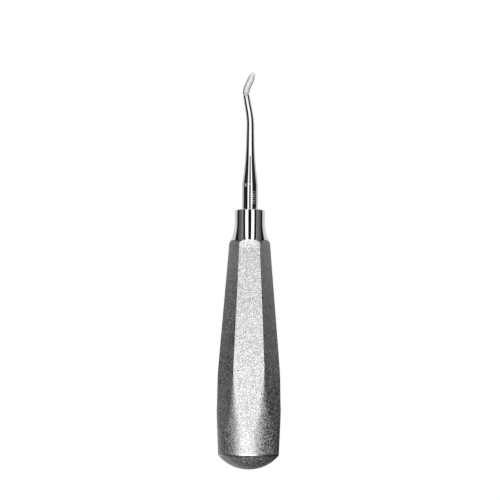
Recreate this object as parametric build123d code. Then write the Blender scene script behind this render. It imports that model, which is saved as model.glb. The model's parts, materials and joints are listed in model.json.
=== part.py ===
"""Dental elevator with a hollow hexagonal steel handle.

Every piece is modelled in the tool's own frame and then laid down with one placement.
Tool frame: the axis of the handle is +X, from the butt's apex at x = 0 to the blade's tip,
+Y is the side that the shank leans to, and +Z is the side that the blade's hollow faces.
Row frame: the tool lies on one flat of the handle, in z = 0, with the tip towards +X.
All lengths are in millimetres and all angles in degrees.
"""

from build123d import *
import math
import os

# Stations along the axis, from the butt's apex.
WIDEST_REAR_X = 21.0
WIDEST_FRONT_X = 30.25
NECK_X = 89.4
MOUTH_X = 95.0
BASE_END_X = 104.4
BEND_START_X = 126.0

# Handle: a turned barrel with six plane flats, which form a hexagon that tapers to the nose.
BUTT_RADIUS = 11.1
BARREL_RADIUS = 11.76
BARREL_TAPER = 0.055
REAR_BLEND_RADIUS = 190.0
FRONT_BLEND_RADIUS = 100.0
CORNER_RADIUS_AT_BUTT = 14.36
CORNER_TAPER = 0.0825
WALL = 1.2
FLARE_RADIUS = 12.5
NECK_RADIUS = 5.6
MOUTH_EDGE = 0.45
DOME_RADIUS = 14.55

# Fits inside the handle.
NOSE_BORE_RADIUS = 4.25
SPIGOT_RADIUS = 4.2
SPIGOT_START_X = 75.0
NOSE_SOLID_X = 76.5
CAP_SEAT_X = 12.0
CAP_BORE_RADIUS = 9.75
CAP_SPIGOT_RADIUS = 9.7
CAP_SPIGOT_END_X = 11.6
CAP_HOLLOW_RADIUS = 8.2
CAP_CROWN_WALL = 1.6
WELD_DEPTH = 0.4
WELD_WIDTH = 0.45
WELD_CROWN = 0.6

# Shank base and tang.
BASE_RADIUS = 2.9
SOCKET_RADIUS = 2.95
SOCKET_FLOOR_X = 93.45
SHOULDER_X = 93.5
TANG_RADIUS = 2.4
TANG_BORE_RADIUS = 2.45
TANG_END_X = 72.0
TANG_CHAMFER = 0.6
BRAZE_FILLET = 0.25
TANG_BRAZE_END_X = 84.0
NOSE_BRAZE_END_X = 82.0
PIN_X = 79.0
PIN_RADIUS = 0.75

# Shank: a steep cone, a long arc and a slim cone, then two bends and the blade.
SLIM_START_X = 114.2
SLIM_START_RADIUS = 1.73
BEND_START_RADIUS = 1.46
KNEE_HALF_WIDTH = 1.2
BASE_BLEND_RADIUS = 15.0
SHANK_BLEND_RADIUS = 100.0
LEAN_ANGLE = 10.4
LEAN_RADIUS = 30.0
LEAN_STRAIGHT = 6.0
KNEE_RADIUS = 5.5
BLADE_ANGLE = 24.0
BLADE_LENGTH = 5.99

# Blade: lens-shaped sections, hollowed along the top by a round channel.
BLADE_HALF_WIDTH = 1.25
TIP_START = 2.5
TIP_REACH = 6.15
TIP_FULLNESS = 0.75
TIP_TURN = 4.9
TIP_HALF_DEPTH = 0.12
DEPTH_FALL = 1.6
CHANNEL_RADIUS = 2.0
CHANNEL_LIFT = 1.5
CHANNEL_RISE = 0.085
CHANNEL_FLAT_END = 1.0
CHANNEL_START = -1.45
CHANNEL_END = 7.0

# How far a cutting tool reaches past the faces that it cuts.
OVERCUT = 1.0

HEX_FLAT = math.cos(math.radians(30))
DOME_ANGLE = math.asin(BUTT_RADIUS / DOME_RADIUS)
BUTT_EDGE_X = DOME_RADIUS * (1 - math.cos(DOME_ANGLE))
TILT = math.degrees(math.atan(CORNER_TAPER * HEX_FLAT))
KNEE_TURN = LEAN_ANGLE + BLADE_ANGLE
KNEE_LENGTH = KNEE_RADIUS * math.radians(KNEE_TURN)


def corner_radius(x):
    """Distance from the axis to a corner of the tapered hexagon, before the barrel rounds it."""
    return CORNER_RADIUS_AT_BUTT - CORNER_TAPER * x


def polar(x, radius, degrees):
    """Point at a distance from the axis; 0 degrees is +Y and 90 degrees is +Z."""
    angle = math.radians(degrees)
    return Vector(x, radius * math.cos(angle), radius * math.sin(angle))


def hexagon_frustum(x_start, x_end, inset=0):
    """Closed six-sided frustum with plane sides, by the distance that they lie inside the flats."""
    ends = []
    for x in [x_start, x_end]:
        corner = corner_radius(x) - inset / HEX_FLAT
        ends.append([polar(x, corner, angle) for angle in range(0, 360, 60)])
    faces = [Face(Wire.make_polygon(end)) for end in ends]
    for i in range(6):
        j = (i + 1) % 6
        side = [ends[0][i], ends[0][j], ends[1][j], ends[1][i]]
        faces.append(Face(Wire.make_polygon(side)))
    return Solid(Shell(faces))


def turned(points, radii=0):
    """Solid of revolution about the axis from a closed outline of (x, radius) points."""
    flat_points = [Vector(x, 0, radius) for x, radius in points]
    outline = FilletPolyline(*flat_points, radius=radii, close=True)
    return revolve(Face(Wire(outline.edges())), Axis.X)


def rod(x_start, x_end, radius):
    """Plain cylinder on the axis between two stations."""
    return turned([(x_start, 0), (x_end, 0), (x_end, radius), (x_start, radius)])


def one_solid(shape):
    """The only solid of a finished piece."""
    solids = shape.solids()
    if len(solids) != 1:
        raise ValueError(f"expected one solid, got {len(solids)}")
    return solids[0]


def barrel(inset=0):
    """Turned barrel: a level middle that tapers to the butt and, faster, to the nose."""
    length = NECK_X - WIDEST_FRONT_X
    outline = [
        (BUTT_EDGE_X, 0),
        (BUTT_EDGE_X, BUTT_RADIUS - inset),
        (WIDEST_REAR_X, BARREL_RADIUS - inset),
        (WIDEST_FRONT_X, BARREL_RADIUS - inset),
        (NECK_X, BARREL_RADIUS - inset - BARREL_TAPER * length),
        (NECK_X, 0),
    ]
    return turned(outline, radii=[0, 0, REAR_BLEND_RADIUS, FRONT_BLEND_RADIUS, 0, 0])


def flare_cutter():
    """Ring that cuts the concave flare between the grip and the neck."""
    wide = BARREL_RADIUS
    centre = NECK_RADIUS + FLARE_RADIUS
    reach = math.sqrt(FLARE_RADIUS**2 - (centre - wide) ** 2)
    half = math.sqrt(FLARE_RADIUS**2 - (reach / 2) ** 2)
    start = Vector(NECK_X, 0, NECK_RADIUS)
    end = Vector(NECK_X - reach, 0, wide)
    outside = [Vector(NECK_X + OVERCUT, 0, wide), Vector(NECK_X + OVERCUT, 0, NECK_RADIUS)]
    arc = ThreePointArc(start, (NECK_X - reach / 2, 0, centre - half), end)
    rest = Polyline(end, *outside, start)
    return revolve(Face(Wire(arc.edges() + rest.edges())), Axis.X)


def grip_form():
    """Outer form of the grip: six flats that run out on the barrel, and the flare at the nose."""
    return (barrel() & hexagon_frustum(0, NECK_X + OVERCUT)) - flare_cutter()


def grip_cavity():
    """Hollow inside the shell: follows the outer form one wall inside it."""
    return barrel(inset=WALL) & hexagon_frustum(CAP_SEAT_X, NOSE_SOLID_X, inset=WALL)


def dome_point(angle, beyond=0):
    """Point on the dome, or beyond it, by the angle in radians at its centre."""
    reach = DOME_RADIUS + beyond
    return Vector(DOME_RADIUS - reach * math.cos(angle), 0, reach * math.sin(angle))


def weld_corners():
    """Root of the weld, its foot on the dome, its crown and its foot on the barrel."""
    root = Vector(BUTT_EDGE_X, 0, BUTT_RADIUS - WELD_DEPTH)
    dome_foot = dome_point(DOME_ANGLE - WELD_WIDTH / DOME_RADIUS)
    barrel_foot = Vector(BUTT_EDGE_X + WELD_WIDTH, 0, BUTT_RADIUS)
    middle = (dome_foot + barrel_foot) * 0.5
    crown = middle + (dome_point(DOME_ANGLE) - middle) * WELD_CROWN
    return root, dome_foot, crown, barrel_foot


def weld_groove():
    """Ring that chamfers the shell and the cap at the butt's edge, to make room for the weld."""
    root, dome_foot, _, barrel_foot = weld_corners()
    above_dome = dome_point(DOME_ANGLE - WELD_WIDTH / DOME_RADIUS, beyond=OVERCUT)
    above_barrel = barrel_foot + Vector(0, 0, OVERCUT)
    corners = [root, dome_foot, above_dome, above_barrel, barrel_foot]
    return revolve(Face(Wire.make_polygon(corners)), Axis.X)


def handle_shell():
    """Hollow grip with a bored nose for the ferrule and a bored seat for the end cap."""
    shell = grip_form() - grip_cavity()
    shell -= rod(NOSE_SOLID_X - OVERCUT, NECK_X + OVERCUT, NOSE_BORE_RADIUS)
    shell -= rod(BUTT_EDGE_X - OVERCUT, CAP_SEAT_X, CAP_BORE_RADIUS)
    return one_solid(shell - weld_groove())


def end_cap():
    """Domed plug: its spigot fits the shell's seat, and it is hollowed from inside."""
    arc = ThreePointArc(dome_point(0), dome_point(DOME_ANGLE / 2), dome_point(DOME_ANGLE))
    rim = Vector(BUTT_EDGE_X, 0, 0)
    dome = revolve(Face(Wire([arc, Line(arc @ 1, rim), Line(rim, arc @ 0)])), Axis.X)
    cap = dome + rod(BUTT_EDGE_X, CAP_SPIGOT_END_X, CAP_SPIGOT_RADIUS)
    hollow = Pos(DOME_RADIUS, 0, 0) * Sphere(DOME_RADIUS - CAP_CROWN_WALL)
    cap -= hollow & rod(0, CAP_SPIGOT_END_X + OVERCUT, CAP_HOLLOW_RADIUS)
    return one_solid(cap - weld_groove())


def cap_weld():
    """Weld metal in the groove at the butt's edge, ground to a small round."""
    root, dome_foot, crown, barrel_foot = weld_corners()
    outline = [
        Line(root, dome_foot),
        ThreePointArc(dome_foot, crown, barrel_foot),
        Line(barrel_foot, root),
    ]
    return one_solid(revolve(Face(Wire(outline)), Axis.X))


def ferrule():
    """Turned neck: polished cylinder, spigot into the nose, bore and socket for the shank."""
    body = turned(
        [
            (SPIGOT_START_X, 0),
            (MOUTH_X, 0),
            (MOUTH_X, NECK_RADIUS),
            (NECK_X, NECK_RADIUS),
            (NECK_X, SPIGOT_RADIUS),
            (SPIGOT_START_X, SPIGOT_RADIUS),
        ],
        radii=[0, 0, MOUTH_EDGE, 0, 0, MOUTH_EDGE],
    )
    body -= rod(SPIGOT_START_X - OVERCUT, MOUTH_X + OVERCUT, TANG_BORE_RADIUS)
    body -= rod(SOCKET_FLOOR_X, MOUTH_X + OVERCUT, SOCKET_RADIUS)
    return one_solid(body - pin_form())


def pin_form():
    """Cross pin through the ferrule's spigot and the tang."""
    return Pos(PIN_X, 0, 0) * Rot(90, 0, 0) * Cylinder(PIN_RADIUS, 2 * SPIGOT_RADIUS)


def tang_pin():
    """The pin's ends follow the spigot's surface, so that the nose slides over them."""
    near_pin = rod(PIN_X - PIN_RADIUS - OVERCUT, PIN_X + PIN_RADIUS + OVERCUT, SPIGOT_RADIUS)
    return one_solid(pin_form() & near_pin)


def tang_braze():
    """Braze film between tang, shoulder and ferrule, with a small fillet at the mouth."""
    film = turned(
        [
            (MOUTH_X + BRAZE_FILLET, BASE_RADIUS),
            (MOUTH_X, BASE_RADIUS + BRAZE_FILLET),
            (MOUTH_X, SOCKET_RADIUS),
            (SOCKET_FLOOR_X, SOCKET_RADIUS),
            (SOCKET_FLOOR_X, TANG_BORE_RADIUS),
            (TANG_BRAZE_END_X, TANG_BORE_RADIUS),
            (TANG_BRAZE_END_X, TANG_RADIUS),
            (SHOULDER_X, TANG_RADIUS),
            (SHOULDER_X, BASE_RADIUS),
        ]
    )
    return one_solid(film)


def ferrule_braze():
    """Braze film between the ferrule's spigot and the bore of the nose."""
    return one_solid(
        rod(NOSE_BRAZE_END_X, NECK_X, NOSE_BORE_RADIUS)
        - rod(NOSE_BRAZE_END_X - OVERCUT, NECK_X + OVERCUT, SPIGOT_RADIUS)
    )


def shank_line():
    """Centre line in front of the turned part: lean to one side, knee, and straight blade."""
    lean = JernArc((BEND_START_X, 0, 0), (1, 0, 0), LEAN_RADIUS, LEAN_ANGLE)
    straight = Line(lean @ 1, (lean @ 1) + (lean % 1) * LEAN_STRAIGHT)
    knee = JernArc(straight @ 1, straight % 1, KNEE_RADIUS, -KNEE_TURN)
    blade = Line(knee @ 1, (knee @ 1) + (knee % 1) * (CHANNEL_END + OVERCUT))
    return Wire([lean, straight, knee, blade])


def section_plane(line, distance, lift=0):
    """Plane across the centre line, lifted in z; its x direction points to +Y's side."""
    heading = line.tangent_at(distance, position_mode=PositionMode.LENGTH)
    point = line.position_at(distance, position_mode=PositionMode.LENGTH) + Vector(0, 0, lift)
    return Plane(origin=point, x_dir=Vector(0, 0, 1).cross(heading), z_dir=heading)


def half_width(distance):
    """Half width of the section, by the distance past the end of the knee."""
    if distance < -KNEE_LENGTH:
        share = -(distance + KNEE_LENGTH) / (LEAN_STRAIGHT + LEAN_RADIUS * math.radians(LEAN_ANGLE))
        return KNEE_HALF_WIDTH + (BEND_START_RADIUS - KNEE_HALF_WIDTH) * share
    if distance < 0:
        share = 1 + distance / KNEE_LENGTH
        return KNEE_HALF_WIDTH + (BLADE_HALF_WIDTH - KNEE_HALF_WIDTH) * share**2
    if distance < TIP_START:
        return BLADE_HALF_WIDTH
    share = (distance - TIP_START) / (TIP_REACH - TIP_START)
    return BLADE_HALF_WIDTH * (1 - share**2) ** TIP_FULLNESS


def half_depth(distance):
    """Half depth of the section: round on the shank, thinning along the blade."""
    if distance < -KNEE_LENGTH:
        return half_width(distance)
    share = (distance + KNEE_LENGTH) / (BLADE_LENGTH + KNEE_LENGTH)
    return KNEE_HALF_WIDTH - (KNEE_HALF_WIDTH - TIP_HALF_DEPTH) * share**DEPTH_FALL


def channel_lift(distance):
    """Height of the channel's centre over the centre line; it rises towards the tip."""
    return CHANNEL_LIFT + CHANNEL_RISE * max(0, distance - CHANNEL_FLAT_END)


def stations(start, end, count):
    """Evenly spaced distances, both ends included."""
    step = (end - start) / (count - 1)
    return [start + i * step for i in range(count)]


def joined_lofts(runs, section):
    """Lofts through short runs of stations, which share their end sections, as one solid."""
    pieces = [loft([section(station) for station in run]) for run in runs]
    whole = pieces[0]
    for piece in pieces[1:]:
        whole += piece
    return whole


def working_end():
    """Shank and blade in front of the turned part, with the blade's hollow cut in."""
    line = shank_line()
    knee_end = line.length - CHANNEL_END - OVERCUT
    lean_end = LEAN_RADIUS * math.radians(LEAN_ANGLE) - knee_end

    def lens(distance):
        plane = section_plane(line, knee_end + distance)
        return plane * Ellipse(half_width(distance), half_depth(distance))

    def channel(distance):
        plane = section_plane(line, knee_end + distance, channel_lift(distance))
        return plane * Circle(CHANNEL_RADIUS)

    blank = joined_lofts(
        [
            stations(-knee_end, lean_end, 3),
            stations(lean_end, -KNEE_LENGTH, 2),
            stations(-KNEE_LENGTH, 0, 4),
            stations(0, TIP_START, 3),
            stations(TIP_START, TIP_TURN, 4),
            stations(TIP_TURN, BLADE_LENGTH, 4),
        ],
        lens,
    )
    cutter = joined_lofts(
        [
            stations(CHANNEL_START, 0, 3),
            stations(0, CHANNEL_FLAT_END, 2),
            stations(CHANNEL_FLAT_END, CHANNEL_END, 2),
        ],
        channel,
    )
    start = section_plane(line, knee_end + CHANNEL_START, channel_lift(CHANNEL_START))
    return blank - cutter - Pos(start.origin) * Sphere(CHANNEL_RADIUS)


def blade_shank():
    """The forged working end: tang, round base, turned shank, bends and blade."""
    stem = turned(
        [
            (TANG_END_X, 0),
            (BEND_START_X, 0),
            (BEND_START_X, BEND_START_RADIUS),
            (SLIM_START_X, SLIM_START_RADIUS),
            (BASE_END_X, BASE_RADIUS),
            (SHOULDER_X, BASE_RADIUS),
            (SHOULDER_X, TANG_RADIUS),
            (TANG_END_X + TANG_CHAMFER, TANG_RADIUS),
            (TANG_END_X, TANG_RADIUS - TANG_CHAMFER),
        ],
        radii=[0, 0, 0, SHANK_BLEND_RADIUS, BASE_BLEND_RADIUS, 0, 0, 0, 0],
    )
    return one_solid(stem + working_end() - pin_form())


def laid_down(shapes):
    """Placement that lays the tool on a flat, with the origin under the middle of its box."""
    tilt = Rot(0, TILT, 0)
    box = Compound(children=[tilt * shape for shape in shapes]).bounding_box()
    rise = HEX_FLAT * corner_radius(0) * math.cos(math.radians(TILT))
    return Pos(-box.center().X, -box.center().Y, rise) * tilt


def main():
    pieces = {
        "blade_shank": blade_shank(),
        "ferrule": ferrule(),
        "handle_shell": handle_shell(),
        "end_cap": end_cap(),
        "tang_pin": tang_pin(),
        "tang_braze": tang_braze(),
        "ferrule_braze": ferrule_braze(),
        "cap_weld": cap_weld(),
    }
    place = laid_down(pieces.values())
    os.makedirs("parts", exist_ok=True)
    for name, shape in pieces.items():
        export_step(place * shape, f"parts/{name}.step")
    for name, x in {"mouth": MOUTH_X, "neck": NECK_X, "base end": BASE_END_X}.items():
        print(name, place * Pos(x, 0, 0))
    print("tilt", TILT)


main()
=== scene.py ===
"""Looks of the dental elevator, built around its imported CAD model.

Pieces are built in the tool's own frame, in millimetres: the axis of the handle is +X, from the
butt's apex at x = 0 towards the tip, +Y is the side that the shank leans to, and +Z is the side
that the blade's hollow faces. One matrix puts them in the row frame, which is in metres.
"""

import json
import math

import bmesh
import bpy
import numpy as np
from mathutils import Matrix, Vector

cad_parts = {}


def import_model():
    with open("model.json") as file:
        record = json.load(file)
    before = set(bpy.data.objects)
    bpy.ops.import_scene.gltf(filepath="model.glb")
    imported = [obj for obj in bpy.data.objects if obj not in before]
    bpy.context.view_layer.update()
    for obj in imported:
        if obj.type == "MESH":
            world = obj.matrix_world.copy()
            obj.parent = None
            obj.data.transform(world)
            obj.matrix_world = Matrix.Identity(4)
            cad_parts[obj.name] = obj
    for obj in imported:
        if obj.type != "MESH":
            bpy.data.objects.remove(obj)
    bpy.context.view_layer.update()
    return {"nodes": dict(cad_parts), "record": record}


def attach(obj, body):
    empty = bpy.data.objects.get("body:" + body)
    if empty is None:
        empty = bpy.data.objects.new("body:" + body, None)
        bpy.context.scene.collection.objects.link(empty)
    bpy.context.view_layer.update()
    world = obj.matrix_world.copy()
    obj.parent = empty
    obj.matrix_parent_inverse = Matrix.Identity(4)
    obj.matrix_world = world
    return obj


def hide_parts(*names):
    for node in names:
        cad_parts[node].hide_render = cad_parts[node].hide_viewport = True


MM = 0.001

# Stations along the axis, from the butt's apex.
WIDEST_REAR_X = 21.0
WIDEST_FRONT_X = 30.25
NECK_X = 89.4
MOUTH_X = 95.0
BASE_END_X = 104.4
BEND_START_X = 126.0

# Handle: a turned barrel with six plane flats, which form a hexagon that tapers to the nose.
BUTT_RADIUS = 11.1
BARREL_RADIUS = 11.76
BARREL_TAPER = 0.055
REAR_BLEND_RADIUS = 190.0
FRONT_BLEND_RADIUS = 100.0
CORNER_RADIUS_AT_BUTT = 14.36
CORNER_TAPER = 0.0825
WALL = 1.2
FLARE_RADIUS = 17.0
FLARE_FRONT_X = 90.6
NECK_RADIUS = 5.6
MOUTH_EDGE = 0.45
DOME_RADIUS = 14.55

# Rounding of the flats' edges: crisp at the nose, soft where they run out on the barrel.
EDGE_ROUND_NOSE = 0.25
EDGE_ROUND_BUTT = 6.0
EDGE_SOFT_FRONT_X = 38.0
EDGE_SOFT_REAR_X = 18.0

# The flats run out in a hollow curve at the nose, strongest in the middle of each flat, and meet
# the polished flare in an arch each.
RUN_OUT_START_X = 80.2
RUN_OUT_RADIUS = 10.0
RUN_OUT_BOW = 0.8
ARCH_SEARCH_X = 79.0

# Fits inside the handle.
NOSE_BORE_RADIUS = 4.25
SPIGOT_RADIUS = 4.2
SPIGOT_START_X = 75.0
NOSE_SOLID_X = 76.5
NOSE_SPLIT_X = 80.0
FRONT_START_X = 78.0
CAP_SEAT_X = 12.0
CAP_BORE_RADIUS = 9.75
CAP_SPIGOT_RADIUS = 9.7
CAP_SPIGOT_END_X = 11.6
CAP_HOLLOW_RADIUS = 8.2
CAP_CROWN_WALL = 1.6
WELD_DEPTH = 0.4
WELD_WIDTH = 0.45
WELD_CROWN = 0.6

# Shank base and tang.
BASE_RADIUS = 2.9
SOCKET_RADIUS = 2.95
SOCKET_FLOOR_X = 93.45
SHOULDER_X = 93.5
TANG_RADIUS = 2.4
TANG_BORE_RADIUS = 2.45
TANG_END_X = 72.0
TANG_CHAMFER = 0.6

# Shank: a steep cone, a long arc and a slim cone, then two bends and the blade.
SLIM_START_X = 114.2
SLIM_START_RADIUS = 1.73
BEND_START_RADIUS = 1.46
KNEE_HALF_WIDTH = 1.2
BASE_BLEND_RADIUS = 6.0
SHANK_BLEND_RADIUS = 100.0
LEAN_ANGLE = math.radians(10.4)
LEAN_RADIUS = 30.0
LEAN_STRAIGHT = 6.0
KNEE_RADIUS = 5.5
BLADE_ANGLE = math.radians(24.0)
BLADE_LENGTH = 6.0

# Blade: lens-shaped sections, hollowed along the top by a round channel.
BLADE_HALF_WIDTH = 1.25
TIP_START = 2.5
TIP_FULLNESS = 0.5
TIP_HALF_DEPTH = 0.12
DEPTH_FALL = 1.6
CHANNEL_RADIUS = 2.0
CHANNEL_LIFT = 1.5
CHANNEL_RISE = 0.085
CHANNEL_FLAT_END = 1.0
CHANNEL_START = -1.45
MATTE_START = -2.6
MATTE_BOW = 0.7

HALF_FLAT = math.radians(30)
HEX_FLAT = math.cos(HALF_FLAT)
DOME_ANGLE = math.asin(BUTT_RADIUS / DOME_RADIUS)
BUTT_EDGE_X = DOME_RADIUS * (1 - math.cos(DOME_ANGLE))
LEAN_LENGTH = LEAN_RADIUS * LEAN_ANGLE
KNEE_TURN = LEAN_ANGLE + BLADE_ANGLE
KNEE_LENGTH = KNEE_RADIUS * KNEE_TURN

# Mesh density. The counts are rings per stretch.
GRIP_SOFT_START_X = 12.0
GRIP_SOFT_END_X = 38.0
REAR_RINGS = 8
SOFT_RINGS = 42
MIDDLE_RINGS = 17
FRONT_RINGS = 18
HOLLOW_RINGS = 20
NOSE_RINGS = 30
LEAN_RINGS = 80
CHANNEL_END_RINGS = 36
BLADE_RINGS = 46
TIP_RINGS = 12
TIP_ROUND = 0.4
ARCH_HALVINGS = 30
LINE_SAMPLES = 400
WELD_STEPS = 9
ROUND_SEGMENTS = 144
SHANK_SEGMENTS = 96
ARC_STEP = math.radians(3)
HALF_FLAT_SEGMENTS = 16

# Camera: straight above, with the tip at the top of the picture.
CAMERA_DISTANCE = 900.0
VIEW_HEIGHT = 183.6
CAMERA_STATION = 80.3
CAMERA_SIDE = -0.13
CAMERA_ROLL = math.radians(0.335)
SENSOR = 36.0

# Lights: panels that face the tool, each between two angles from the zenith, in degrees. The
# side panels are for the polished neck and nose, the crown for the blasted pieces and the shank,
# the end panel and the bridge for the shank alone.
PANEL_DISTANCE = 650.0
PANEL_CENTRE_X = 300.0
PANEL_LENGTH = 1700.0
SOFTBOX = (12, 34)
SOFTBOX_RADIANCE = 1.5
SIDE_PANELS = {"strip": (52, 56, 0.42), "side": (57, 71, 0.17), "low": (71, 90, 0.085)}
CROWN = (-22, 31)
CROWN_RADIANCE = 6.6
CROWN_CENTRE_X = -100.0
CROWN_LENGTH = 400.0
END_PANEL = (45, 85)
END_PANEL_WIDTH = 700.0
END_RADIANCE = 2.2
BRIDGE = (-12, 12)
BRIDGE_RADIANCE = 1.5
BRIDGE_CENTRE_X = 212.0
BRIDGE_LENGTH = 60.0

# The floor as it shows in reflections: white near the object, dark further out. The camera sees
# it white all over.
FLOOR_REACH = 3000.0
FLOOR_GAP = 0.62
FLOOR_CENTRE = 15.0
FLOOR_END = 90.0
FLOOR_TURN = 0.45
FLOOR_TURN_START = -36.0
FLOOR_WAIST = 6.0
FLOOR_WAIST_START = -5.0
FLOOR_WAIST_END = 10.0
FLOOR_WHITE = 22.0
FLOOR_DARK = 36.0
FLOOR_GLOW = 0.76

# Blasted finish: cells per millimetre, and how far a cell's normal may lean.
GRIT_SCALE = 3.2
GRIT_LEAN = 0.15

# Etched marks on the shank's base: bars on one side, a ring segment on the other. Sides are the
# middle and the reach of each, in degrees from the top.
BAR_START_X = 97.3
BAR_END_X = 101.6
BAR_PITCH = 0.85
SEGMENT_X = 104.1
SEGMENT_WIDTH = 1.3
BAR_SIDE = (-38, 30)
SEGMENT_SIDE = (56, 30)
ETCHED_ROUGHNESS = 0.42


# ---------------------------------------------------------------------------------------------
# Frame


def tool_frame(record):
    """Matrix from the tool's frame in millimetres to the row frame, from the neck's mount."""
    mount = next(m for m in record["mounts"] if m["name"] == "ferrule_neck")
    along = Vector(mount["axis"]).normalized()
    across = Vector((0, 1, 0))
    upward = along.cross(across)
    station = (NECK_X + MOUTH_X - MOUTH_EDGE) / 2
    origin = Vector(mount["pos_m"]) - along * station * MM
    turn = Matrix((along, across, upward)).transposed()
    return Matrix.Translation(origin) @ turn.to_4x4() @ Matrix.Scale(MM, 4)


# ---------------------------------------------------------------------------------------------
# Mesh helpers


def skin(name, rings, looped=False):
    """Mesh object over rings of points; the last ring joins the first one if it is looped."""
    count = len(rings[0])
    points = np.concatenate(rings)
    bands = len(rings) if looped else len(rings) - 1
    faces = []
    for band in range(bands):
        low = band * count
        high = (band + 1) % len(rings) * count
        for i in range(count):
            j = (i + 1) % count
            faces.append((low + i, low + j, high + j, high + i))
    mesh = bpy.data.meshes.new(name)
    mesh.from_pydata([tuple(p) for p in points], [], faces)
    tidy = bmesh.new()
    tidy.from_mesh(mesh)
    bmesh.ops.remove_doubles(tidy, verts=tidy.verts, dist=1e-5)
    bmesh.ops.recalc_face_normals(tidy, faces=tidy.faces)
    tidy.to_mesh(mesh)
    tidy.free()
    piece = bpy.data.objects.new(name, mesh)
    bpy.context.scene.collection.objects.link(piece)
    return piece


def settle(piece, material, nodes, sharp=35):
    """Puts a finished piece in the row frame, smooths it and hands it to the frame."""
    piece.data.transform(TOOL)
    for polygon in piece.data.polygons:
        polygon.use_smooth = True
    piece.data.set_sharp_from_angle(angle=math.radians(sharp))
    piece.data.materials.append(material)
    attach(piece, "root")
    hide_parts(*nodes)
    return piece


def circle(x, radius, count=ROUND_SEGMENTS):
    """Ring about the axis at a station."""
    angles = np.linspace(0, 2 * math.pi, count, endpoint=False)
    return np.column_stack([np.full(count, x), radius * np.cos(angles), radius * np.sin(angles)])


def turned(name, outline, looped=False, count=ROUND_SEGMENTS):
    """Piece turned about the axis from (x, radius) points."""
    return skin(name, [circle(x, radius, count) for x, radius in outline], looped)


def rounded(corners):
    """Outline through (x, radius, rounding) corners, with an arc at each rounded corner."""
    outline = []
    for i, (x, radius, rounding) in enumerate(corners):
        here = Vector((x, radius))
        if rounding == 0:
            outline.append((x, radius))
            continue
        before = (Vector(corners[i - 1][:2]) - here).normalized()
        after = (Vector(corners[i + 1][:2]) - here).normalized()
        half = before.angle(after) / 2
        centre = here + (before + after).normalized() * (rounding / math.sin(half))
        start = here + before * (rounding / math.tan(half)) - centre
        turn = math.pi - 2 * half
        if start.x * before.y - start.y * before.x > 0:
            turn = -turn
        steps = max(2, math.ceil(abs(turn) / ARC_STEP))
        for step in range(steps + 1):
            angle = turn * step / steps
            spoke = Matrix.Rotation(angle, 2) @ start
            outline.append(tuple(centre + spoke))
    return outline


def stretched(outline, spacing):
    """The same outline with points added on its long straight runs."""
    full = [outline[0]]
    for (x0, r0), (x1, r1) in zip(outline, outline[1:]):
        steps = max(1, math.ceil(math.hypot(x1 - x0, r1 - r0) / spacing))
        for step in range(1, steps + 1):
            share = step / steps
            full.append((x0 + (x1 - x0) * share, r0 + (r1 - r0) * share))
    return full


# ---------------------------------------------------------------------------------------------
# Handle


def smooth_share(value, start, end):
    """0 at start, 1 at end, with level ends."""
    share = np.clip((value - start) / (end - start), 0, 1)
    return share * share * (3 - 2 * share)


def barrel_outline():
    """Turned outline of the grip, from the butt's edge to the neck."""
    front = BARREL_RADIUS - BARREL_TAPER * (NECK_X - WIDEST_FRONT_X)
    return rounded(
        [
            (BUTT_EDGE_X, BUTT_RADIUS, 0),
            (WIDEST_REAR_X, BARREL_RADIUS, REAR_BLEND_RADIUS),
            (WIDEST_FRONT_X, BARREL_RADIUS, FRONT_BLEND_RADIUS),
            (NECK_X, front, 0),
        ]
    )


BARREL = np.array(barrel_outline()).T


def edge_round(x):
    """Rounding of the flats' edges at a station."""
    soft = smooth_share(-x, -EDGE_SOFT_FRONT_X, -EDGE_SOFT_REAR_X)
    return EDGE_ROUND_NOSE + (EDGE_ROUND_BUTT - EDGE_ROUND_NOSE) * soft


def grip_section(x, inset=0, angle=0):
    """Flat distance, barrel radius, rounding and the two angles that limit the rounding."""
    share = 1 - RUN_OUT_BOW * (angle / HALF_FLAT) ** 2
    run_out = share * np.clip(x - RUN_OUT_START_X, 0, None) ** 2 / (2 * RUN_OUT_RADIUS)
    flat = HEX_FLAT * (CORNER_RADIUS_AT_BUTT - CORNER_TAPER * x) + run_out - inset
    barrel = np.interp(x, *BARREL) - inset
    rounding = edge_round(x)
    core_flat = flat - rounding
    core_barrel = barrel - rounding
    end = np.minimum(np.arccos(np.clip(core_flat / core_barrel, -1, 1)), HALF_FLAT)
    start = np.arctan2(core_flat * np.tan(end), flat)
    return flat, barrel, rounding, start, end


def grip_radius(x, angle, inset=0):
    """Radius of the grip by station and by angle from the middle of the nearest flat."""
    flat, barrel, rounding, start, end = grip_section(x, inset, angle)
    side = np.abs(angle)
    core = flat - rounding
    along = core * np.cos(side) + core * np.tan(end) * np.sin(side)
    across = core * np.sin(side) - core * np.tan(end) * np.cos(side)
    corner = along + np.sqrt(np.clip(rounding**2 - across**2, 0, None))
    radius = np.where(side < start, flat / np.cos(side), corner)
    return np.where(side > end, barrel, np.minimum(radius, barrel))


def flare_radius(x):
    """Radius of the concave flare between the grip and the neck."""
    reach = np.clip(FLARE_FRONT_X - x, 0, FLARE_RADIUS)
    return NECK_RADIUS + FLARE_RADIUS - np.sqrt(FLARE_RADIUS**2 - reach**2)


def flat_angles(x):
    """Angles from a flat's middle to its corner, packed close where the surface turns."""
    _, _, _, start, end = grip_section(x)
    fine = np.linspace(0, HALF_FLAT, 400)
    width = max(end - start, math.radians(1.2))
    density = 1 + 9 * np.exp(-(((fine - (start + end) / 2) / width) ** 2))
    total = np.concatenate([[0], np.cumsum((density[1:] + density[:-1]) / 2)])
    return np.interp(np.linspace(0, 1, HALF_FLAT_SEGMENTS + 1), total / total[-1], fine)


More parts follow.
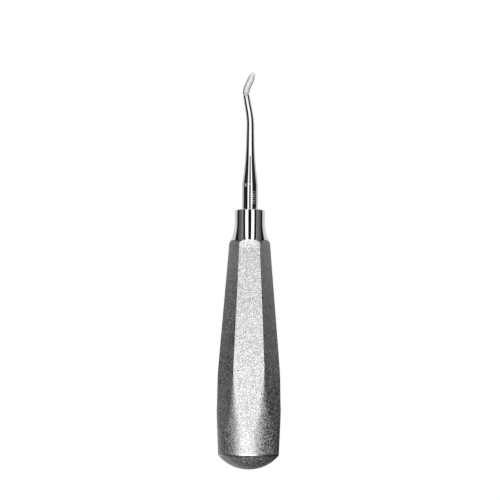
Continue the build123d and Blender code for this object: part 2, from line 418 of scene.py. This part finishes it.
def around(x):
    """Polar angles of a ring at a station, and the same angles from the nearest flat's middle."""
    half = flat_angles(x)
    sector = np.concatenate([-half[:0:-1], half[:-1]])
    turns = HALF_FLAT + np.arange(6) * 2 * HALF_FLAT
    return (turns[:, None] + sector[None, :]).ravel(), np.tile(sector, 6)


def arch(offsets):
    """Station at which the grip meets the flare, by the angle from a flat's middle."""
    low = np.full(len(offsets), ARCH_SEARCH_X)
    high = np.full(len(offsets), NECK_X)
    for _ in range(ARCH_HALVINGS):
        middle = (low + high) / 2
        below = grip_radius(middle, offsets) < flare_radius(middle)
        low = np.where(below, middle, low)
        high = np.where(below, high, middle)
    return low


def ring(stations, radii, angles):
    """Ring of points by station, radius and polar angle."""
    return np.column_stack([stations, radii * np.cos(angles), radii * np.sin(angles)])


def grip_ring(x, inset=0):
    """Ring on the grip, or on the hollow inside it."""
    angles, offsets = around(x)
    return ring(np.full(len(angles), x), grip_radius(x, offsets, inset), angles)


def front_ring(share):
    """Ring between the last plain ring of the grip and the arches that end it."""
    angles, offsets = around(FRONT_START_X)
    stations = FRONT_START_X + share * (arch(offsets) - FRONT_START_X)
    return ring(stations, grip_radius(stations, offsets), angles)


def plain_ring(x, radius, like):
    """Round ring whose points match those of a grip ring at another station."""
    angles, _ = around(like)
    return ring(np.full(len(angles), x), np.full(len(angles), radius), angles)


def handle_shell(material):
    """Blasted grip: hollow, and closed inside against the polished nose."""
    butt = BUTT_EDGE_X + WELD_WIDTH
    rear = np.linspace(butt, GRIP_SOFT_START_X, REAR_RINGS)
    barrel = np.linspace(GRIP_SOFT_START_X, GRIP_SOFT_END_X, SOFT_RINGS)[1:]
    middle = np.linspace(GRIP_SOFT_END_X, FRONT_START_X, MIDDLE_RINGS)[1:]
    front = np.linspace(0, 1, FRONT_RINGS)[1:]
    rings = [grip_ring(x) for x in np.concatenate([rear, barrel, middle])]
    rings += [front_ring(share) for share in front]
    rings.append(plain_ring(NOSE_SPLIT_X, NOSE_BORE_RADIUS, FRONT_START_X))
    rings.append(plain_ring(NOSE_SOLID_X, NOSE_BORE_RADIUS, FRONT_START_X))
    hollow = np.linspace(NOSE_SOLID_X, CAP_SEAT_X, HOLLOW_RINGS)
    rings += [grip_ring(x, inset=WALL) for x in hollow]
    rings.append(plain_ring(CAP_SEAT_X, CAP_BORE_RADIUS, CAP_SEAT_X))
    rings.append(plain_ring(BUTT_EDGE_X, CAP_BORE_RADIUS, butt))
    rings.append(plain_ring(BUTT_EDGE_X, BUTT_RADIUS - WELD_DEPTH, butt))
    piece = skin("handle_shell_grip", rings, looped=True)
    return settle(piece, material, ["handle_shell"])


def handle_nose(material):
    """Polished nose of the handle's shell, from the arched limit to the neck."""
    angles, offsets = around(FRONT_START_X)
    limit = arch(offsets)
    rings = []
    for share in np.linspace(0, 1, NOSE_RINGS):
        stations = limit + (NECK_X - limit) * share
        rings.append(ring(stations, flare_radius(stations), angles))
    rings.append(plain_ring(NECK_X, NOSE_BORE_RADIUS, FRONT_START_X))
    rings.append(plain_ring(NOSE_SPLIT_X, NOSE_BORE_RADIUS, FRONT_START_X))
    piece = skin("handle_shell_nose", rings, looped=True)
    return settle(piece, material, ["handle_shell"])


def dome_outline(radius, end_angle):
    """Points on a sphere about the dome's centre, from the axis outwards."""
    steps = math.ceil(end_angle / ARC_STEP) + 1
    angles = np.linspace(0, end_angle, steps)
    return [(DOME_RADIUS - radius * math.cos(a), radius * math.sin(a)) for a in angles]


def end_cap(material):
    """Domed plug with its spigot, hollowed from inside."""
    inner = DOME_RADIUS - CAP_CROWN_WALL
    outline = dome_outline(DOME_RADIUS, DOME_ANGLE - WELD_WIDTH / DOME_RADIUS)
    outline += [
        (BUTT_EDGE_X, BUTT_RADIUS - WELD_DEPTH),
        (BUTT_EDGE_X, CAP_SPIGOT_RADIUS),
        (CAP_SPIGOT_END_X, CAP_SPIGOT_RADIUS),
        (CAP_SPIGOT_END_X, CAP_HOLLOW_RADIUS),
    ]
    outline += dome_outline(inner, math.asin(CAP_HOLLOW_RADIUS / inner))[::-1]
    return settle(turned("end_cap_dome", outline), material, ["end_cap"])


def cap_weld(material):
    """Weld metal in the groove at the butt's edge, ground to a small round."""
    foot_angle = DOME_ANGLE - WELD_WIDTH / DOME_RADIUS
    dome_foot = Vector(dome_outline(DOME_RADIUS, foot_angle)[-1])
    barrel_foot = Vector((BUTT_EDGE_X + WELD_WIDTH, BUTT_RADIUS))
    middle = (dome_foot + barrel_foot) / 2
    crown = middle + (Vector((BUTT_EDGE_X, BUTT_RADIUS)) - middle) * WELD_CROWN
    outline = [(BUTT_EDGE_X, BUTT_RADIUS - WELD_DEPTH)]
    for share in np.linspace(0, 1, WELD_STEPS):
        swell = 4 * share * (1 - share)
        point = dome_foot.lerp(barrel_foot, share) + (crown - middle) * swell
        outline.append(tuple(point))
    piece = turned("cap_weld_ring", outline, looped=True)
    return settle(piece, material, ["cap_weld"])


def ferrule(material):
    """Polished neck with its spigot, bore and socket."""
    outline = rounded(
        [
            (SPIGOT_START_X, TANG_BORE_RADIUS, 0),
            (SPIGOT_START_X, SPIGOT_RADIUS, 0),
            (NECK_X, SPIGOT_RADIUS, 0),
            *[(x, float(flare_radius(x)), 0) for x in np.linspace(NECK_X, FLARE_FRONT_X, 5)],
            (MOUTH_X, NECK_RADIUS, MOUTH_EDGE),
            (MOUTH_X, SOCKET_RADIUS, 0),
            (SOCKET_FLOOR_X, SOCKET_RADIUS, 0),
            (SOCKET_FLOOR_X, TANG_BORE_RADIUS, 0),
        ]
    )
    piece = turned("ferrule_neck", outline, looped=True)
    return settle(piece, material, ["ferrule"])


# ---------------------------------------------------------------------------------------------
# Shank and blade


def line_point(distance):
    """Point and heading on the centre line, by the distance past the bend's start."""
    if distance <= LEAN_LENGTH:
        heading = distance / LEAN_RADIUS
        x = LEAN_RADIUS * math.sin(heading)
        y = LEAN_RADIUS * (1 - math.cos(heading))
        return BEND_START_X + x, y, heading
    x, y, _ = line_point(LEAN_LENGTH)
    straight = min(distance - LEAN_LENGTH, LEAN_STRAIGHT)
    x += straight * math.cos(LEAN_ANGLE)
    y += straight * math.sin(LEAN_ANGLE)
    turned_by = min(max(distance - LEAN_LENGTH - LEAN_STRAIGHT, 0) / KNEE_RADIUS, KNEE_TURN)
    heading = LEAN_ANGLE - turned_by
    x += KNEE_RADIUS * (math.sin(LEAN_ANGLE) - math.sin(heading))
    y += KNEE_RADIUS * (math.cos(heading) - math.cos(LEAN_ANGLE))
    rest = max(distance - LEAN_LENGTH - LEAN_STRAIGHT - KNEE_LENGTH, 0)
    return x + rest * math.cos(heading), y + rest * math.sin(heading), heading


def half_width(s):
    """Half width of the section, by the distance past the end of the knee."""
    if s < -KNEE_LENGTH:
        share = -(s + KNEE_LENGTH) / (LEAN_STRAIGHT + LEAN_LENGTH)
        return KNEE_HALF_WIDTH + (BEND_START_RADIUS - KNEE_HALF_WIDTH) * share
    if s < 0:
        share = 1 + s / KNEE_LENGTH
        return KNEE_HALF_WIDTH + (BLADE_HALF_WIDTH - KNEE_HALF_WIDTH) * share**2
    share = max(s - TIP_START, 0) / (BLADE_LENGTH - TIP_START)
    return BLADE_HALF_WIDTH * max(1 - share**2, 0) ** TIP_FULLNESS


def half_depth(s):
    """Half depth of the section: round on the shank, thinning along the blade."""
    if s < -KNEE_LENGTH:
        return half_width(s)
    share = (s + KNEE_LENGTH) / (BLADE_LENGTH + KNEE_LENGTH)
    depth = KNEE_HALF_WIDTH - (KNEE_HALF_WIDTH - TIP_HALF_DEPTH) * share**DEPTH_FALL
    return min(depth, half_width(s) + TIP_HALF_DEPTH * (1 - share))


def channel_floor(s, across):
    """Height of the channel's surface, by the distance past the knee and across the blade."""
    centre = CHANNEL_LIFT + CHANNEL_RISE * max(0, s - CHANNEL_FLAT_END)
    ball = max(0, CHANNEL_START - s)
    room = np.clip(CHANNEL_RADIUS**2 - ball**2 - across**2, 0, None)
    return np.where(room > 0, centre - np.sqrt(room), CHANNEL_LIFT + CHANNEL_RADIUS)


def rim_angle(s):
    """Angle on the section's upper half at which the channel's rim lies; pi / 2 if it has none."""
    angles = np.linspace(0, math.pi / 2, 721)
    over = half_depth(s) * np.sin(angles) - channel_floor(s, half_width(s) * np.cos(angles))
    hits = np.nonzero(over > 0)[0]
    if len(hits) == 0:
        return math.pi / 2
    first = hits[0]
    if first == 0:
        return 0.0
    share = over[first - 1] / (over[first - 1] - over[first])
    return float(angles[first - 1] + (angles[first] - angles[first - 1]) * share)


def blade_ring(s):
    """Ring of the bent shank or the blade, and which of its points lie on the channel."""
    rim = max(rim_angle(s), math.radians(1))
    quarter = SHANK_SEGMENTS // 8
    side = np.linspace(0, rim, quarter + 1)[:-1]
    top = np.linspace(rim, math.pi - rim, 2 * quarter + 1)
    under = np.linspace(-math.pi, 0, 4 * quarter + 1)[1:-1]
    angles = np.concatenate([side, top, math.pi - side[::-1], under])
    across = half_width(s) * np.cos(angles)
    height = half_depth(s) * np.sin(angles)
    upper = slice(len(side), len(side) + len(top))
    if rim < math.pi / 2:
        height[upper] = np.minimum(height[upper], channel_floor(s, across[upper]))
    x, y, heading = line_point(s + LEAN_LENGTH + LEAN_STRAIGHT + KNEE_LENGTH)
    return np.column_stack(
        [x - across * math.sin(heading), y + across * math.cos(heading), height]
    )


def shank_ring(x, radius):
    """Round ring whose points match those of a blade ring without a channel."""
    quarter = SHANK_SEGMENTS // 8
    side = np.linspace(0, math.pi / 2, quarter + 1)[:-1]
    top = np.full(2 * quarter + 1, math.pi / 2)
    under = np.linspace(-math.pi, 0, 4 * quarter + 1)[1:-1]
    angles = np.concatenate([side, top, math.pi - side[::-1], under])
    return ring(np.full(len(angles), x), np.full(len(angles), radius), angles)


def shank_outline():
    """Turned part of the working end, from the tang's end to the first bend."""
    return stretched(
        rounded(
            [
                (TANG_END_X, 0, 0),
                (TANG_END_X, TANG_RADIUS - TANG_CHAMFER, 0),
                (TANG_END_X + TANG_CHAMFER, TANG_RADIUS, 0),
                (SHOULDER_X, TANG_RADIUS, 0),
                (SHOULDER_X, BASE_RADIUS, 0),
                (BASE_END_X, BASE_RADIUS, BASE_BLEND_RADIUS),
                (SLIM_START_X, SLIM_START_RADIUS, SHANK_BLEND_RADIUS),
                (BEND_START_X, BEND_START_RADIUS, 0),
            ]
        ),
        spacing=1.5,
    )


def blade_shank(steel, matte):
    """The forged working end, from the tang to the blade's tip."""
    rings = [shank_ring(x, radius) for x, radius in shank_outline()]
    ball_start = CHANNEL_START - CHANNEL_RADIUS
    first = -(LEAN_LENGTH + LEAN_STRAIGHT + KNEE_LENGTH)
    slow = np.linspace(first, ball_start, LEAN_RINGS)[1:-1]
    shares = np.linspace(0, 1, CHANNEL_END_RINGS)
    opening = ball_start + (1 - ball_start - CHANNEL_RADIUS) * shares**2
    blade = np.linspace(opening[-1], BLADE_LENGTH - TIP_ROUND, BLADE_RINGS)[1:]
    tip = BLADE_LENGTH - TIP_ROUND * np.linspace(1, 0, TIP_RINGS)[1:] ** 1.5
    rings += [blade_ring(s) for s in np.concatenate([slow, opening, blade, tip])]
    piece = skin("blade_shank_forging", rings)
    settle(piece, steel, ["blade_shank"])
    piece.data.materials.append(matte)
    mark_matte(piece)
    return piece


def mark_matte(piece):
    """Gives the second material to the blade, from a curved limit just past the knee."""
    to_tool = TOOL.inverted()
    start = LEAN_LENGTH + LEAN_STRAIGHT + KNEE_LENGTH
    distances = np.linspace(-KNEE_LENGTH, BLADE_LENGTH, LINE_SAMPLES)
    line = [line_point(start + s) for s in distances]
    for polygon in piece.data.polygons:
        centre = to_tool @ polygon.center
        gaps = [math.hypot(centre.x - x, centre.y - y) for x, y, _ in line]
        nearest = int(np.argmin(gaps))
        x, y, heading = line[nearest]
        across = (centre.y - y) * math.cos(heading) - (centre.x - x) * math.sin(heading)
        s = -KNEE_LENGTH + (KNEE_LENGTH + BLADE_LENGTH) * nearest / (len(line) - 1)
        limit = MATTE_START + MATTE_BOW * (across / BLADE_HALF_WIDTH) ** 2
        if s > limit:
            polygon.material_index = 1


# ---------------------------------------------------------------------------------------------
# Materials


class Shader:
    """A Principled material and short calls for the nodes that feed it."""

    def __init__(self, name, **values):
        self.material = bpy.data.materials.new(name)
        self.material.use_nodes = True
        self.nodes = self.material.node_tree.nodes
        self.links = self.material.node_tree.links
        self.surface = next(n for n in self.nodes if n.type == "BSDF_PRINCIPLED")
        for socket, value in values.items():
            self.surface.inputs[socket.replace("_", " ")].default_value = value
        place = self.nodes.new("ShaderNodeTexCoord").outputs["Object"]
        self.tool = self.mapped(place, TOOL.to_translation(), TOOL.to_euler(), MM)

    def mapped(self, vector, location, rotation, scale):
        node = self.nodes.new("ShaderNodeMapping")
        node.vector_type = "TEXTURE"
        node.inputs["Location"].default_value = location
        node.inputs["Rotation"].default_value = rotation
        node.inputs["Scale"].default_value = (scale, scale, scale)
        self.links.new(vector, node.inputs["Vector"])
        return node.outputs["Vector"]

    def stretched(self, x, y, z):
        """Tool coordinates in millimetres, divided by a size along each axis."""
        node = self.nodes.new("ShaderNodeVectorMath")
        node.operation = "DIVIDE"
        self.links.new(self.tool, node.inputs[0])
        node.inputs[1].default_value = (x, y, z)
        return node.outputs["Vector"]

    def axes(self):
        """The three tool coordinates, in millimetres."""
        node = self.nodes.new("ShaderNodeSeparateXYZ")
        self.links.new(self.tool, node.inputs["Vector"])
        return node.outputs["X"], node.outputs["Y"], node.outputs["Z"]

    def within(self, value, middle, reach):
        """1 where a value is within reach of the middle, else 0."""
        gap = self.math("ABSOLUTE", self.math("SUBTRACT", value, middle), 0.0)
        return self.math("LESS_THAN", gap, reach)

    def noise(self, vector, scale, detail=2.0, roughness=0.5):
        node = self.nodes.new("ShaderNodeTexNoise")
        node.inputs["Scale"].default_value = scale
        node.inputs["Detail"].default_value = detail
        node.inputs["Roughness"].default_value = roughness
        self.links.new(vector, node.inputs["Vector"])
        return node.outputs["Fac"]

    def cells(self, scale):
        """Random colour of small cells."""
        node = self.nodes.new("ShaderNodeTexVoronoi")
        node.inputs["Scale"].default_value = scale
        self.links.new(self.tool, node.inputs["Vector"])
        return node.outputs["Color"]

    def dented(self, scale, tilt):
        """Surface normal that leans at random in each small cell, as on dented metal."""
        geometry = self.nodes.new("ShaderNodeNewGeometry")
        signed = self.vector("MULTIPLY_ADD", self.cells(scale), (2, 2, 2), (-1, -1, -1))
        squared = self.vector("MULTIPLY", signed, signed)
        cubed = self.vector("MULTIPLY", squared, signed)
        lean = self.vector("MULTIPLY_ADD", cubed, (tilt,) * 3, geometry.outputs["Normal"])
        return self.vector("NORMALIZE", lean)

    def vector(self, operation, *values):
        node = self.nodes.new("ShaderNodeVectorMath")
        node.operation = operation
        for socket, value in zip(node.inputs, values):
            if isinstance(value, tuple):
                socket.default_value = value
            else:
                self.links.new(value, socket)
        return node.outputs["Vector"]

    def pits(self, vector, scale):
        node = self.nodes.new("ShaderNodeTexVoronoi")
        node.inputs["Scale"].default_value = scale
        self.links.new(vector, node.inputs["Vector"])
        return node.outputs["Distance"]

    def levels(self, value, low, high, out_low, out_high):
        """Remaps a value from one range to another, clamped."""
        node = self.nodes.new("ShaderNodeMapRange")
        self.links.new(value, node.inputs["Value"])
        for socket, number in zip(
            ("From Min", "From Max", "To Min", "To Max"), (low, high, out_low, out_high)
        ):
            node.inputs[socket].default_value = number
        return node.outputs["Result"]

    def math(self, operation, first, second):
        node = self.nodes.new("ShaderNodeMath")
        node.operation = operation
        for socket, value in zip(node.inputs, (first, second)):
            if isinstance(value, (int, float)):
                socket.default_value = value
            else:
                self.links.new(value, socket)
        return node.outputs["Value"]

    def grey(self, value):
        node = self.nodes.new("ShaderNodeCombineColor")
        for socket in ("Red", "Green", "Blue"):
            self.links.new(value, node.inputs[socket])
        return node.outputs["Color"]

    def bump(self, height, depth, normal=None):
        """Bump whose height of 0 to 1 stands for a depth in millimetres."""
        node = self.nodes.new("ShaderNodeBump")
        node.inputs["Strength"].default_value = 1.0
        node.inputs["Distance"].default_value = depth * MM
        self.links.new(height, node.inputs["Height"])
        if normal is not None:
            self.links.new(normal, node.inputs["Normal"])
        return node.outputs["Normal"]

    def feed(self, socket, value):
        self.links.new(value, self.surface.inputs[socket])


def blasted_steel():
    """Blasted stainless steel: fine pits, and grit cells that are paler where they are rougher."""
    shader = Shader("blasted_steel", Metallic=1.0)
    grain = shader.noise(shader.tool, 2.2, detail=5.0, roughness=0.7)
    pits = shader.pits(shader.tool, 3.1)
    cloud = shader.noise(shader.tool, 0.12, detail=3.0)
    grit = shader.cells(GRIT_SCALE)
    tone = shader.levels(grit, 0.1, 0.9, 0.24, 0.52)
    tone = shader.math("MULTIPLY", tone, shader.levels(grain, 0.3, 0.7, 0.94, 1.06))
    tone = shader.math("MULTIPLY", tone, shader.levels(cloud, 0.3, 0.7, 0.97, 1.03))
    shader.feed("Base Color", shader.grey(tone))
    shader.feed("Roughness", shader.levels(grit, 0.1, 0.9, 0.32, 0.80))
    normal = shader.dented(GRIT_SCALE, GRIT_LEAN)
    normal = shader.bump(grain, 0.05, normal)
    normal = shader.bump(pits, 0.02, normal)
    shader.feed("Normal", normal)
    return shader.material


def etched_marks(shader):
    """Mask of plain etched bars and a ring segment on the shank's base."""
    x, y, z = shader.axes()
    side = shader.math("ARCTAN2", y, z)
    middle = (BAR_START_X + BAR_END_X) / 2
    band = shader.within(x, middle, (BAR_END_X - BAR_START_X) / 2)
    row = shader.math("FRACT", shader.math("DIVIDE", x, BAR_PITCH), 0.0)
    bars = shader.math("MULTIPLY", band, shader.within(row, 0.5, 0.22))
    right = shader.within(side, *[math.radians(angle) for angle in BAR_SIDE])
    bars = shader.math("MULTIPLY", bars, right)
    segment = shader.within(x, SEGMENT_X, SEGMENT_WIDTH / 2)
    left = shader.within(side, *[math.radians(angle) for angle in SEGMENT_SIDE])
    return shader.math("MAXIMUM", bars, shader.math("MULTIPLY", segment, left))


def polished_steel(name, tone, roughness, marked=False):
    """Turned and buffed steel: faint turning rings and soft haze from buffing."""
    shader = Shader(name, Metallic=1.0)
    lathe = shader.noise(shader.stretched(0.03, 30, 30), 1.0, detail=3.0)
    haze = shader.noise(shader.tool, 0.6, detail=4.0)
    scuffs = shader.noise(shader.stretched(4, 0.05, 0.05), 1.0, detail=2.0)
    shader.feed("Base Color", shader.grey(shader.levels(haze, 0.3, 0.7, tone - 0.02, tone + 0.02)))
    worn = shader.levels(haze, 0.35, 0.75, roughness, roughness + 0.02)
    worn = shader.math("ADD", worn, shader.levels(scuffs, 0.62, 0.75, 0.0, 0.03))
    if marked:
        etched = shader.math("MULTIPLY", etched_marks(shader), ETCHED_ROUGHNESS)
        worn = shader.math("MAXIMUM", worn, etched)
    shader.feed("Roughness", worn)
    shader.feed("Normal", shader.bump(lathe, 0.0002))
    return shader.material


def ground_face():
    """Fine-ground face of the blade's hollow: matte, with grinding lines along it."""
    shader = Shader("ground_blade_face", Metallic=1.0)
    lines = shader.noise(shader.stretched(1.4, 0.07, 0.07), 1.0, detail=3.0)
    grain = shader.noise(shader.tool, 9.0, detail=3.0)
    tone = shader.levels(grain, 0.3, 0.7, 0.38, 0.44)
    shader.feed("Base Color", shader.grey(tone))
    shader.feed("Roughness", shader.levels(lines, 0.3, 0.7, 0.56, 0.66))
    normal = shader.bump(lines, 0.0015)
    shader.feed("Normal", shader.bump(grain, 0.003, normal))
    return shader.material


def plain_metal(name, tone, roughness, tint=(1.0, 1.0, 1.0)):
    """Metal of the small joining pieces: slightly uneven, with a fine grain."""
    shader = Shader(name, Metallic=1.0)
    grain = shader.noise(shader.tool, 5.0, detail=4.0)
    mix = shader.nodes.new("ShaderNodeMix")
    mix.data_type = "RGBA"
    mix.inputs["A"].default_value = (*[tone * 0.85 * t for t in tint], 1)
    mix.inputs["B"].default_value = (*[tone * 1.1 * t for t in tint], 1)
    shader.links.new(grain, mix.inputs["Factor"])
    shader.feed("Base Color", mix.outputs["Result"])
    shader.feed("Roughness", shader.levels(grain, 0.3, 0.7, roughness - 0.06, roughness + 0.06))
    shader.feed("Normal", shader.bump(grain, 0.02))
    return shader.material


# ---------------------------------------------------------------------------------------------
# Stage


class Graph:
    """Short calls for the nodes of the floor and the surroundings."""

    def __init__(self, tree):
        self.nodes = tree.nodes
        self.links = tree.links
        self.nodes.clear()

    def add(self, kind, inputs=None, **settings):
        """A node with its settings, and with values or links for its inputs."""
        node = self.nodes.new(kind)
        for name, value in settings.items():
            setattr(node, name, value)
        for name, value in (inputs or {}).items():
            socket = node.inputs[name]
            if isinstance(value, bpy.types.NodeSocket):
                self.links.new(value, socket)
            else:
                socket.default_value = value
        return node

    def math(self, operation, *values):
        return self.add(
            "ShaderNodeMath", dict(enumerate(values)), operation=operation
        ).outputs["Value"]

    def ramp(self, value, stops):
        """Curve of grey levels through (position, level) stops."""
        node = self.add("ShaderNodeValToRGB", {"Fac": value})
        elements = node.color_ramp.elements
        while len(elements) < len(stops):
            elements.new(0.5)
        for element, (position, level) in zip(elements, stops):
            element.position = position
            element.color = (level, level, level, 1)
        return node.outputs["Color"]


def soft_light(name, place, along, away, size, radiance, pieces):
    """Rectangular light whose long side is along one direction, facing back along another.

    If pieces are given, it is screened off from all others, as with flags in a studio.
    """
    light = bpy.data.lights.new(name, "AREA")
    light.shape = "RECTANGLE"
    light.size = size[0] * MM
    light.size_y = size[1] * MM
    light.energy = radiance * math.pi * light.size * light.size_y
    lamp = bpy.data.objects.new(name, light)
    turn = Matrix((along, away.cross(along), away)).transposed()
    lamp.matrix_world = Matrix.Translation(place * MM) @ turn.to_4x4()
    lamp.visible_camera = False
    bpy.context.scene.collection.objects.link(lamp)
    if pieces:
        lit = bpy.data.collections.new(f"{name}_lit")
        for piece in pieces:
            lit.objects.link(piece)
        lamp.light_linking.receiver_collection = lit


def panel(name, angles, radiance, pieces=(), centre=PANEL_CENTRE_X, length=PANEL_LENGTH):
    """Light along the tool, between two angles from the zenith."""
    low, high = (math.radians(angle) for angle in angles)
    middle = (low + high) / 2
    along = Vector((1, 0, 0))
    away = Vector((0, math.sin(middle), math.cos(middle)))
    place = along * centre + away * PANEL_DISTANCE
    width = 2 * PANEL_DISTANCE * math.tan(abs(high - low) / 2)
    soft_light(name, place, along, away, (length, width), radiance, pieces)


def end_panel(pieces):
    """Light past the tip, across the tool, for the slopes that face that way."""
    low, high = (math.radians(angle) for angle in END_PANEL)
    middle = (low + high) / 2
    away = Vector((math.sin(middle), 0, math.cos(middle)))
    height = 2 * PANEL_DISTANCE * math.tan((high - low) / 2)
    size = (END_PANEL_WIDTH, height)
    soft_light("end", away * PANEL_DISTANCE, Vector((0, 1, 0)), away, size, END_RADIANCE, pieces)


def world():
    """White to the camera; a dark studio with a faint glow above its horizon to all else."""
    surroundings = bpy.data.worlds.new("studio")
    bpy.context.scene.world = surroundings
    surroundings.use_nodes = True
    graph = Graph(surroundings.node_tree)
    place = graph.add("ShaderNodeTexCoord")
    axes = graph.add("ShaderNodeSeparateXYZ", {"Vector": place.outputs["Generated"]})
    stops = [(0.0, 0.03), (0.2, 0.04), (0.5, 0.02), (1.0, 0.01)]
    dim = graph.add("ShaderNodeBackground", {"Color": graph.ramp(axes.outputs["Z"], stops)})
    white = graph.add("ShaderNodeBackground", {"Color": (1, 1, 1, 1)})
    path = graph.add("ShaderNodeLightPath")
    mix = graph.add("ShaderNodeMixShader", {"Fac": path.outputs["Is Camera Ray"]})
    graph.links.new(dim.outputs["Background"], mix.inputs[1])
    graph.links.new(white.outputs["Background"], mix.inputs[2])
    graph.add("ShaderNodeOutputWorld", {"Surface": mix.outputs["Shader"]})


def floor():
    """Plain white sweep, whose reflection fades to dark a short way from the object."""
    mesh = bpy.data.meshes.new("floor")
    corners = [(-1, -1), (1, -1), (1, 1), (-1, 1)]
    reach = FLOOR_REACH * MM
    mesh.from_pydata([(x * reach, y * reach, -FLOOR_GAP * MM) for x, y in corners], [], [range(4)])
    plane = bpy.data.objects.new("floor", mesh)
    bpy.context.scene.collection.objects.link(plane)
    material = bpy.data.materials.new("floor_white")
    material.use_nodes = True
    graph = Graph(material.node_tree)
    place = graph.add("ShaderNodeTexCoord")
    axes = graph.add("ShaderNodeSeparateXYZ", {"Vector": place.outputs["Object"]})
    behind = graph.math("MINIMUM", axes.outputs["X"], FLOOR_TURN_START * MM)
    turn = graph.math("MULTIPLY_ADD", behind, FLOOR_TURN, -FLOOR_TURN * FLOOR_TURN_START * MM)
    turned_y = graph.math("ADD", turn, axes.outputs["Y"])
    waist = graph.add(
        "ShaderNodeMapRange",
        {
            "Value": axes.outputs["X"],
            "From Min": FLOOR_WAIST_START * MM,
            "From Max": FLOOR_WAIST_END * MM,
            "To Min": FLOOR_WAIST * MM,
            "To Max": 0.0,
        },
    )
    side = graph.math("ADD", graph.math("ABSOLUTE", turned_y), waist.outputs["Result"])
    along = graph.math("ABSOLUTE", graph.math("SUBTRACT", axes.outputs["X"], FLOOR_CENTRE * MM))
    gap = graph.math("MAXIMUM", side, graph.math("SUBTRACT", along, FLOOR_END * MM))
    fall = graph.add(
        "ShaderNodeMapRange",
        {
            "Value": gap,
            "From Min": FLOOR_WHITE * MM,
            "From Max": FLOOR_DARK * MM,
            "To Min": FLOOR_GLOW,
            "To Max": 0.012,
        },
        interpolation_type="SMOOTHSTEP",
    )
    reflected = graph.add("ShaderNodeEmission", {"Strength": fall.outputs["Result"]})
    seen = graph.add("ShaderNodeEmission", {"Strength": 0.93})
    matte = graph.add("ShaderNodeBsdfDiffuse", {"Color": (0.25, 0.25, 0.25, 1)})
    both = graph.add("ShaderNodeAddShader", {0: seen.outputs[0], 1: matte.outputs[0]})
    path = graph.add("ShaderNodeLightPath")
    mix = graph.add(
        "ShaderNodeMixShader",
        {"Fac": path.outputs["Is Camera Ray"], 1: reflected.outputs[0], 2: both.outputs[0]},
    )
    graph.add("ShaderNodeOutputMaterial", {"Surface": mix.outputs[0]})
    mesh.materials.append(material)


def studio(turned_pieces, blasted_pieces, shank):
    """Floor, surroundings, two softboxes for all, and lights that reach some pieces only."""
    world()
    floor()
    bpy.context.scene.view_settings.view_transform = "Standard"
    for name, side in [("left", 1), ("right", -1)]:
        panel(f"softbox_{name}", [side * angle for angle in SOFTBOX], SOFTBOX_RADIANCE)
        for part, (low, high, radiance) in SIDE_PANELS.items():
            panel(f"{part}_{name}", (side * low, side * high), radiance, turned_pieces)
    matte_pieces = [*blasted_pieces, shank]
    panel("crown", CROWN, CROWN_RADIANCE, matte_pieces, CROWN_CENTRE_X, CROWN_LENGTH)
    end_panel([shank])
    panel("bridge", BRIDGE, BRIDGE_RADIANCE, [shank], BRIDGE_CENTRE_X, BRIDGE_LENGTH)


def camera():
    """Camera straight above the tool, with the tip at the top of the picture."""
    data = bpy.data.cameras.new("camera")
    data.sensor_width = SENSOR
    data.lens = SENSOR * CAMERA_DISTANCE / VIEW_HEIGHT
    data.clip_start = 0.01
    data.clip_end = 10
    view = bpy.data.objects.new("camera", data)
    target = TOOL @ Vector((CAMERA_STATION, 0, 0))
    place = target + Vector((0, CAMERA_SIDE * MM, CAMERA_DISTANCE * MM))
    straight = Matrix(((0, 1, 0), (-1, 0, 0), (0, 0, 1))).to_4x4()
    view.matrix_world = (
        Matrix.Translation(place) @ straight @ Matrix.Rotation(CAMERA_ROLL, 4, "Z")
    )
    bpy.context.scene.collection.objects.link(view)
    bpy.context.scene.camera = view


# ---------------------------------------------------------------------------------------------
# Scene

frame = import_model()
TOOL = tool_frame(frame["record"])

blasted = blasted_steel()
polished = polished_steel("polished_steel", 0.80, 0.025)
forged = polished_steel("forged_steel", 0.70, 0.025, marked=True)
weld = plain_metal("weld_steel", 0.50, 0.36)

blasted_pieces = [handle_shell(blasted), end_cap(blasted), cap_weld(weld)]
turned_pieces = [handle_nose(polished), ferrule(polished)]
shank = blade_shank(forged, ground_face())

kept = {
    "tang_pin": plain_metal("pin_steel", 0.60, 0.34),
    "tang_braze": plain_metal("braze_metal", 0.74, 0.30, tint=(1.0, 0.97, 0.9)),
}
kept["ferrule_braze"] = kept["tang_braze"]
for node_name, finish in kept.items():
    node = frame["nodes"][node_name]
    node.data.materials.clear()
    node.data.materials.append(finish)

studio(turned_pieces, blasted_pieces, shank)
camera()
